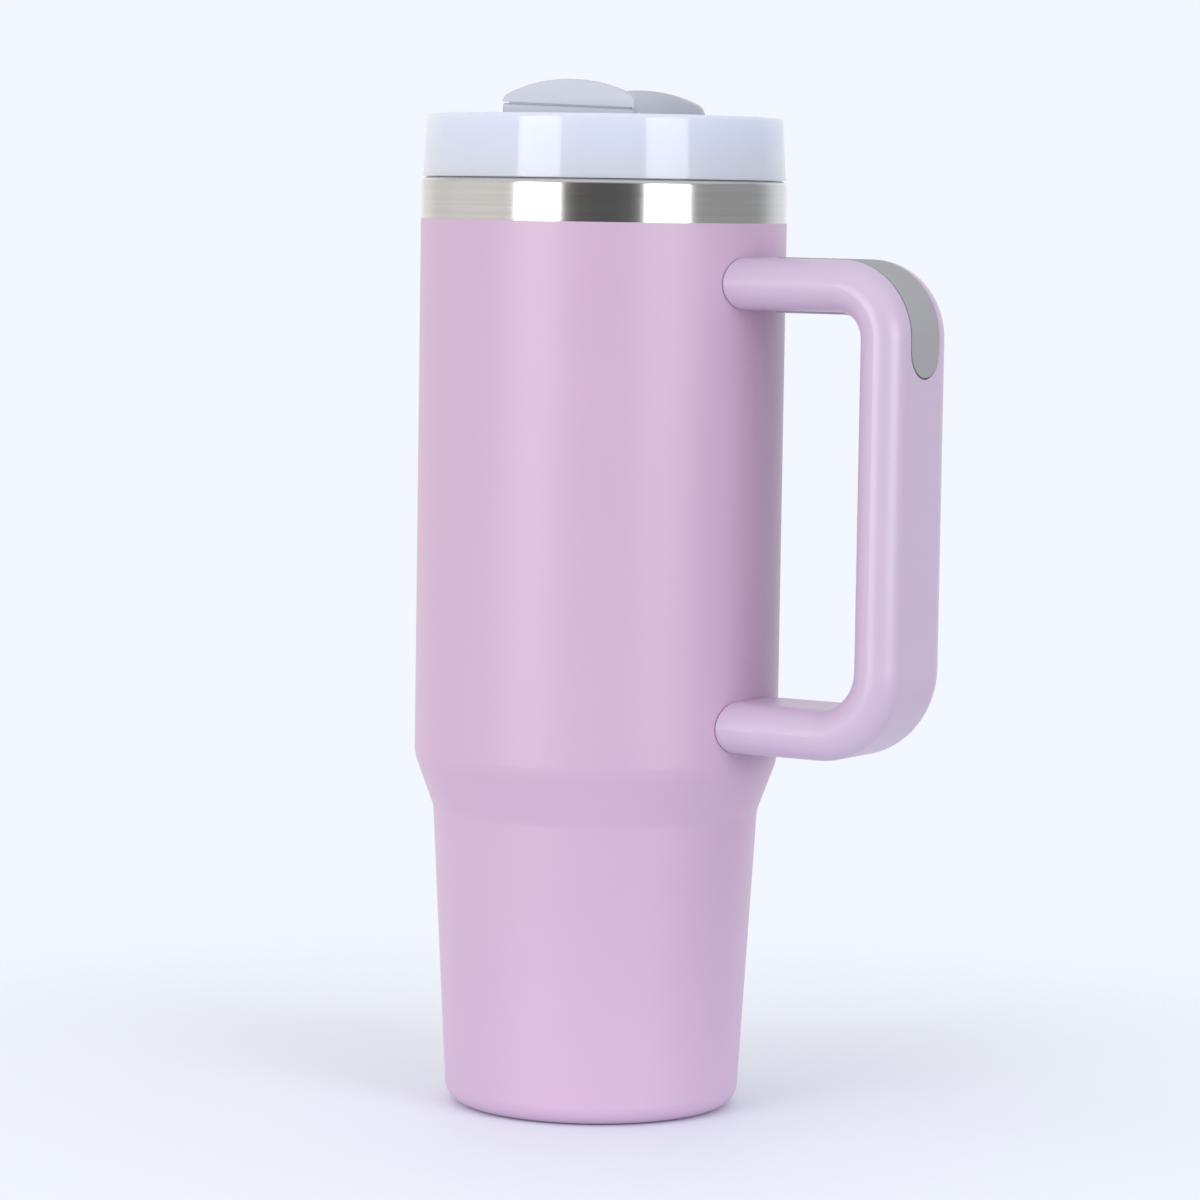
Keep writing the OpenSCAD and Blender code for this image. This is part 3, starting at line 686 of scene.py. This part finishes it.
lid = {
    "low": 48.55, "top": 47.55, "seat": 249.6, "skirtInside": 45.75, "wellEdge": 44.55, "well": 44.15,
    "deck": 257.9, "deckUnder": 255.4, "plug": 42.85, "plugInside": 40.45, "plugLow": 236.0,
    "grooveLow": 239.0, "grooveTop": 245.0, "groove": 41.65, "rib": 43.75, "bossBore": 4.08,
    "boss": 7.68, "bossUnder": 252.4, "edge": 1.2, "boreEdge": 0.3, "wellFoot": 0.6,
    "seatEdge": 0.2, "skirtEdge": 0.4, "underFillet": 1.0, "grooveEdge": 0.15, "plugEdge": 0.7,
    "plugFillet": 1.5, "bossEdge": 0.4, "clear": 1,
}
gasket = {"fit": 0.15, "ribStart": 0.3, "ribEnd": 1.5, "ribFoot": 1.8, "ribEdge": 0.2}
ports = {"ring": 26.0, "halfWidth": 5.5, "halfAngle": 16.0, "dialRest": 12.0, "quarter": 90.0}


def curvedSlot(halfWidth, halfAngle, low, high, turn):
    # a slot with round ends, bent round the axis at the ports' radius
    ring = ports["ring"]
    straight = radians(halfAngle) * ring
    bm = roundEnded(-straight - halfWidth, straight + halfWidth, halfWidth, low, high, 8)
    cutAcross(bm, 0, [straight * (i / 6 - 1) for i in range(13)])

    def rule(x, y, z):
        inner = max(-straight, min(straight, x))
        angle = radians(turn) + inner / ring
        spill = x - inner
        radius = ring - y
        return (radius * cos(angle) - spill * sin(angle), radius * sin(angle) + spill * cos(angle), z)

    bendBy(bm, rule)
    return tidy(bm)


def makeLid(d):
    outline = [
        (d["bossBore"], d["deck"], d["boreEdge"]), (d["well"], d["deck"], d["wellFoot"]),
        (d["wellEdge"], lidTop, d["edge"]), (d["top"], lidTop, d["edge"]),
        (d["low"], d["seat"], d["seatEdge"]), (d["skirtInside"], d["seat"], d["skirtEdge"]),
        (d["skirtInside"], d["deckUnder"], d["underFillet"]),
        (d["plug"], d["deckUnder"], d["underFillet"]), (d["plug"], d["grooveTop"], d["grooveEdge"]),
        (d["groove"], d["grooveTop"]), (d["groove"], d["grooveLow"]),
        (d["plug"], d["grooveLow"], d["grooveEdge"]), (d["plug"], d["plugLow"], d["plugEdge"]),
        (d["plugInside"], d["plugLow"], d["plugEdge"]),
        (d["plugInside"], d["deckUnder"], d["plugFillet"]),
        (d["boss"], d["deckUnder"], d["underFillet"]), (d["boss"], d["bossUnder"], d["bossEdge"]),
        (d["bossBore"], d["bossUnder"])]
    port = curvedSlot(ports["halfWidth"], ports["halfAngle"], d["deckUnder"] - d["clear"],
                      d["deck"] + d["clear"], ports["dialRest"] + ports["quarter"])
    bm = cutWith(turned(outline, steps=144, segments=6), [port])
    finishPiece("lidMoulding", bm, [lidPlastic], "lid", ["lid_body"])


def makeGasket(d, g):
    low, top, inside = d["grooveLow"] + g["fit"], d["grooveTop"] - g["fit"], d["groove"] + g["fit"]
    outline = [
        (inside, low), (d["plug"], low), (d["rib"], low + g["ribStart"], g["ribEdge"]),
        (d["rib"], low + g["ribEnd"], g["ribEdge"]), (d["plug"], low + g["ribFoot"]),
        (d["plug"], top - g["ribFoot"]), (d["rib"], top - g["ribEnd"], g["ribEdge"]),
        (d["rib"], top - g["ribStart"], g["ribEdge"]), (d["plug"], top), (inside, top)]
    finishPiece("ribbedGasket", turned(outline, steps=128, segments=3), [softSilicone],
                "gasket", ["lid_gasket"])


makeLid(lid)
makeGasket(lid, gasket)


dial = {
    "under": 258.2, "top": 260.8, "radius": 43.55, "edge": 0.8, "post": 4.0, "postEnd": 252.1,
    "finRing": 26.5, "finLength": 37.0, "finThick": 3.2, "finRoot": 0.5, "archRise": 4.7,
    "plainTop": 273.7, "capTop": 275.4, "seam": 268.7, "seamGap": 0.4, "corner": 2.0, "finEdge": 0.55,
    "archSteps": 23, "capCorner": 1.5, "seamTilt": 0.035, "seamReach": 0.7, "ribShort": 3,
    "ribShare": 0.55, "ribHeight": 3.4, "ribEdge": 0.2, "ribDrop": 0.4, "smallEdge": 0.3,
    "strawHole": 4.1, "grommet": 5.2, "flange": 6.4, "flangeTop": 261.6, "flangeEdge": 0.35,
    "holeEdge": 0.2, "pocketMargin": 2.05, "pocketRise": 1.32, "clear": 1,
}


def finShape(d, low, top, degrees, topCorner, seam=None):
    # an upright fin drawn in XZ, arched along the top if it has top corners, then turned to its place
    half, rise = d["finLength"] / 2, d["archRise"]
    archRadius = (half ** 2 + rise ** 2) / (2 * rise)
    arched = topCorner > 0
    bm = bmesh.new()
    corners = ((-half, 0, low), (half, 0, low), (half, 0, top), (-half, 0, top))
    bm.faces.new([bm.verts.new(corner) for corner in corners])
    if arched:
        bmesh.ops.subdivide_edges(bm, edges=levelParts(bm.edges, top), cuts=d["archSteps"],
                                  use_grid_fill=False)
        for vert in bm.verts:
            if vert.co.z > top - near:
                vert.co.z = top - archRadius + sqrt(archRadius ** 2 - vert.co.x ** 2)
        tips = [v for v in bm.verts if abs(abs(v.co.x) - half) < 1e-4 and v.co.z > low + near]
        bmesh.ops.bevel(bm, geom=tips, offset=topCorner, offset_type="OFFSET", segments=5, profile=0.5,
                        affect="VERTICES", material=-1)
    bmesh.ops.translate(bm, vec=(0, -d["finThick"] / 2, 0), verts=bm.verts[:])
    pulledOut(bm, (0, d["finThick"], 0))
    rims = []
    for edge in sharpEdges(bm, 50):
        ends = [v.co.z for v in edge.verts]
        if min(ends) > low + near or (not arched and ends[0] != ends[1]):
            rims.append(edge)
    roundEdges(bm, rims, d["finEdge"], 3)
    for vert in bm.verts:
        if seam is not None and abs(vert.co.z - seam) < d["seamReach"]:
            vert.co.z -= vert.co.x * d["seamTilt"]
    bmesh.ops.translate(bm, vec=(0, -d["finRing"], 0), verts=bm.verts[:])
    return turnedBy(bm, degrees)


def joinShapes(bm, other):
    mesh = bpy.data.meshes.new("part")
    other.to_mesh(mesh)
    other.free()
    bm.from_mesh(mesh)
    bpy.data.meshes.remove(mesh)
    return bm


def finRib(d, degrees):
    # the hidden rib that the cap clips onto, seen only as the dark of the seam
    bm = bmesh.new()
    bmesh.ops.create_cube(bm, size=1)
    size = (d["finLength"] - d["ribShort"], d["finThick"] * d["ribShare"], d["ribHeight"])
    bmesh.ops.scale(bm, vec=size, verts=bm.verts[:])
    roundEdges(bm, bm.edges[:], d["ribEdge"], 1)
    bmesh.ops.translate(bm, vec=(0, -d["finRing"], d["seam"] - d["ribDrop"]), verts=bm.verts[:])
    return turnedBy(bm, degrees)


def makeDialDisc(d):
    outline = [
        (0, d["postEnd"]), (d["post"], d["postEnd"], d["smallEdge"]), (d["post"], d["under"]),
        (d["radius"], d["under"], d["smallEdge"]), (d["radius"], d["top"], d["edge"]), (0, d["top"])]
    low, high = d["under"] - d["clear"], d["top"] + d["clear"]
    width, angle = ports["halfWidth"], ports["halfAngle"]
    hole = turned([(0, low), (d["grommet"], low), (d["grommet"], high), (0, high)], steps=48,
                  centre=(ports["ring"], 0, 0))
    drink = curvedSlot(width, angle, low, high, 2 * ports["quarter"])
    pocket = curvedSlot(width + d["pocketMargin"], angle, lid["deck"], lid["deck"] + d["pocketRise"],
                        ports["quarter"])
    bm = cutWith(turned(outline, steps=144, segments=5), [hole, drink, pocket])
    finishPiece("dialDisc", turnedBy(bm, ports["dialRest"]), [dialPlastic], "dial",
                ["dial_cover"])


def makeFins(d):
    rest, root, stemTop = ports["dialRest"], d["top"] - d["finRoot"], d["seam"] - d["seamGap"]
    plain = finShape(d, root, d["plainTop"], rest + 2 * ports["quarter"], d["corner"])
    stem = joinShapes(finShape(d, root, stemTop, rest, 0, stemTop), finRib(d, rest))
    cap = finShape(d, d["seam"], d["capTop"], rest, d["capCorner"], d["seam"])
    for name, bm, node in (("plainFin", plain, "dial_cover"), ("cappedFinStem", stem, "dial_cover"),
                           ("finCap", cap, "fin_cap")):
        finishPiece(name, bm, [dialPlastic], "dial", [node], sharp=40)


def makeGrommet(d):
    angle = radians(ports["dialRest"])
    centre = (ports["ring"] * cos(angle), ports["ring"] * sin(angle), 0)
    outline = [
        (d["strawHole"], d["under"], d["holeEdge"]), (d["grommet"], d["under"]),
        (d["grommet"], d["top"]), (d["flange"], d["top"]),
        (d["flange"], d["flangeTop"], d["flangeEdge"]), (d["strawHole"], d["flangeTop"], d["flangeEdge"])]
    finishPiece("strawGrommet", turned(outline, steps=64, segments=4, centre=centre), [softSilicone],
                "dial", ["straw_grommet"])


makeDialDisc(dial)
makeFins(dial)
makeGrommet(dial)


carriedFinishes = {
    "getter_clip": linerSteel, "getter_pill": getterMetal, "copper_shield": copperFoil,
    "upper_bracket": screwSteel, "lower_bracket": screwSteel, "bracket_screws": screwSteel,
    "screw_hole_plug": handlePlastic, "port_seal": softSilicone, "pivot_oring": softSilicone,
    "pivot_washer": screwSteel, "pivot_screw": screwSteel,
}
for nodeName, finish in carriedFinishes.items():
    mesh = cadNodes[nodeName].data
    mesh.materials.clear()
    mesh.materials.append(finish)
print("carried-over parts finished")


viewing = {
    "azimuth": 32.5, "distance": 1.278, "height": 0.2455, "pitch": 4.882, "roll": 0.864,
    "lens": 142.65, "sideways": 0.022, "sensor": 36, "nearClip": 0.05, "farClip": 60,
}
studio = {
    "backdrop": (0.896, 0.930, 1.0), "boxDistance": 1.15, "boxWidth": 0.57, "boxHeight": 0.62,
    "boxMiddle": 0.32, "boxPower": 5.7, "leftAngle": -41.5, "rightAngle": 39.5,
    "frontGlow": 0.12, "leftGlow": 0.95, "rightGlow": 0.45, "backGlow": 1.0, "topGlow": 0.9,
    "warm": (1.0, 0.975, 0.95), "cool": (0.95, 0.975, 1.0),
    # how far a direction must lean one way for each glow to start, and to be full
    "leftEnds": (-0.98, -0.55), "backEnds": (-0.85, -0.35), "frontEnds": (0.80, 0.97),
    "topEnds": (0.35, 0.8), "tintEnds": (-0.5, 0.3),
}
floorLook = {
    "radius": 1.6, "colour": (0.872, 0.915, 1.0), "roughness": 0.6, "specular": 0.2,
    "fadeFrom": 0.07, "fadeTo": 0.34, "drop": 0.0002,
}
facing = Vector((sin(radians(viewing["azimuth"])), -cos(radians(viewing["azimuth"])), 0))
rightward = Vector((cos(radians(viewing["azimuth"])), sin(radians(viewing["azimuth"])), 0))


def makeCamera(c):
    data = bpy.data.cameras.new("camera")
    data.lens = c["lens"]
    data.sensor_width = c["sensor"]
    data.clip_start = c["nearClip"]
    data.clip_end = c["farClip"]
    camera = bpy.data.objects.new("camera", data)
    bpy.context.scene.collection.objects.link(camera)
    yaw = radians(c["sideways"])
    pitch = radians(c["pitch"])
    level = (-facing * cos(yaw) + rightward * sin(yaw)).normalized()
    forward = level * cos(pitch) - Vector((0, 0, 1)) * sin(pitch)
    side = forward.cross(Vector((0, 0, 1))).normalized()
    up = side.cross(forward)
    roll = radians(c["roll"])
    tiltedUp = up * cos(roll) - side * sin(roll)
    tiltedSide = side * cos(roll) + up * sin(roll)
    camera.matrix_world = Matrix((
        (tiltedSide.x, tiltedUp.x, -forward.x, facing.x * c["distance"]),
        (tiltedSide.y, tiltedUp.y, -forward.y, facing.y * c["distance"]),
        (tiltedSide.z, tiltedUp.z, -forward.z, c["height"]),
        (0, 0, 0, 1)))
    bpy.context.scene.camera = camera


def makeSoftbox(name, angle, s):
    data = bpy.data.lights.new(name, "AREA")
    data.shape = "RECTANGLE"
    data.size = s["boxWidth"]
    data.size_y = s["boxHeight"]
    data.energy = s["boxPower"]
    lamp = bpy.data.objects.new(name, data)
    bpy.context.scene.collection.objects.link(lamp)
    turn = radians(angle)
    place = facing * cos(turn) + rightward * sin(turn)
    lamp.location = place * s["boxDistance"] + Vector((0, 0, s["boxMiddle"]))
    lamp.rotation_mode = "QUATERNION"
    lamp.rotation_quaternion = (-place).to_track_quat("-Z", "Y")
    lamp.visible_camera = False


def makeWorld(s):
    world = bpy.data.worlds.new("studio")
    bpy.context.scene.world = world
    world.use_nodes = True
    tree = world.node_tree
    tree.nodes.clear()
    link = tree.links.new
    coords = addNode(tree, "ShaderNodeTexCoord", (-1200, 0))

    def along(direction):
        dot = addNode(tree, "ShaderNodeVectorMath", (-1000, 0), operation="DOT_PRODUCT")
        dot.inputs[1].default_value = direction
        link(coords.outputs["Generated"], dot.inputs[0])
        return dot.outputs["Value"]

    def spread(value, ends, start, end):
        node = addNode(tree, "ShaderNodeMapRange", (-700, 0), interpolation_type="SMOOTHSTEP")
        setInputs(node, From_Min=ends[0], From_Max=ends[1], To_Min=start, To_Max=end)
        link(value, node.inputs["Value"])
        return node.outputs[0]

    def mixed(factor, one, two):
        node = addNode(tree, "ShaderNodeMix", (-400, 0), data_type="FLOAT")
        link(factor, node.inputs["Factor"])
        for socket, value in ((2, one), (3, two)):
            if isinstance(value, float):
                node.inputs[socket].default_value = value
            else:
                link(value, node.inputs[socket])
        return node.outputs[0]

    toCamera = along(facing)
    toRight = along(rightward)
    sideGlow = spread(toRight, s["leftEnds"], s["leftGlow"], s["rightGlow"])
    behind = spread(toCamera, s["backEnds"], 1.0, 0.0)
    ahead = spread(toCamera, s["frontEnds"], 0.0, 1.0)
    overhead = spread(along((0, 0, 1)), s["topEnds"], 0.0, 1.0)
    glow = mixed(behind, sideGlow, s["backGlow"])
    glow = mixed(ahead, glow, s["frontGlow"])
    glow = mixed(overhead, glow, s["topGlow"])
    # the camera sees a plain backdrop, and the glow only lights and mirrors
    seen = addNode(tree, "ShaderNodeLightPath", (-400, 400))
    shade = addNode(tree, "ShaderNodeBackground", (-100, -100))
    tint = addNode(tree, "ShaderNodeMix", (-400, -300), data_type="RGBA")
    tint.inputs[6].default_value = (*s["warm"], 1)
    tint.inputs[7].default_value = (*s["cool"], 1)
    link(spread(toRight, s["tintEnds"], 0.0, 1.0), tint.inputs["Factor"])
    link(tint.outputs[2], shade.inputs["Color"])
    link(glow, shade.inputs["Strength"])
    plain = addNode(tree, "ShaderNodeBackground", (-100, 100))
    plain.inputs["Color"].default_value = (*s["backdrop"], 1)
    pick = addNode(tree, "ShaderNodeMixShader", (150, 0))
    out = addNode(tree, "ShaderNodeOutputWorld", (350, 0))
    link(seen.outputs["Is Camera Ray"], pick.inputs[0])
    link(shade.outputs[0], pick.inputs[1])
    link(plain.outputs[0], pick.inputs[2])
    link(pick.outputs[0], out.inputs[0])


def makeFloor(f):
    # a pale floor that fades into the backdrop a little way from the object
    bm = bmesh.new()
    bmesh.ops.create_circle(bm, cap_ends=True, segments=96, radius=f["radius"])
    floor = meshObject("floor", bm)
    material = bpy.data.materials.new("paleFloor")
    material.use_nodes = True
    tree = material.node_tree
    shader = tree.nodes["Principled BSDF"]
    shader.inputs["Base Color"].default_value = (*f["colour"], 1)
    shader.inputs["Roughness"].default_value = f["roughness"]
    shader.inputs["Specular IOR Level"].default_value = f["specular"]
    coords = addNode(tree, "ShaderNodeTexCoord", (-900, 300))
    reach = addNode(tree, "ShaderNodeVectorMath", (-700, 300), operation="LENGTH")
    fade = addNode(tree, "ShaderNodeMapRange", (-500, 300), interpolation_type="SMOOTHSTEP")
    setInputs(fade, From_Min=f["fadeFrom"], From_Max=f["fadeTo"], To_Min=0.0, To_Max=1.0)
    clear = addNode(tree, "ShaderNodeBsdfTransparent", (-200, 300))
    blend = addNode(tree, "ShaderNodeMixShader", (300, 200))
    tree.links.new(coords.outputs["Object"], reach.inputs[0])
    tree.links.new(reach.outputs["Value"], fade.inputs["Value"])
    tree.links.new(fade.outputs[0], blend.inputs[0])
    tree.links.new(shader.outputs[0], blend.inputs[1])
    tree.links.new(clear.outputs[0], blend.inputs[2])
    tree.links.new(blend.outputs[0], tree.nodes["Material Output"].inputs[0])
    floor.data.materials.append(material)
    floor.location.z = -f["drop"]


makeCamera(viewing)
makeWorld(studio)
makeSoftbox("leftSoftbox", studio["leftAngle"], studio)
makeSoftbox("rightSoftbox", studio["rightAngle"], studio)
makeFloor(floorLook)
bpy.context.scene.view_settings.view_transform = "Standard"
print("studio ready")
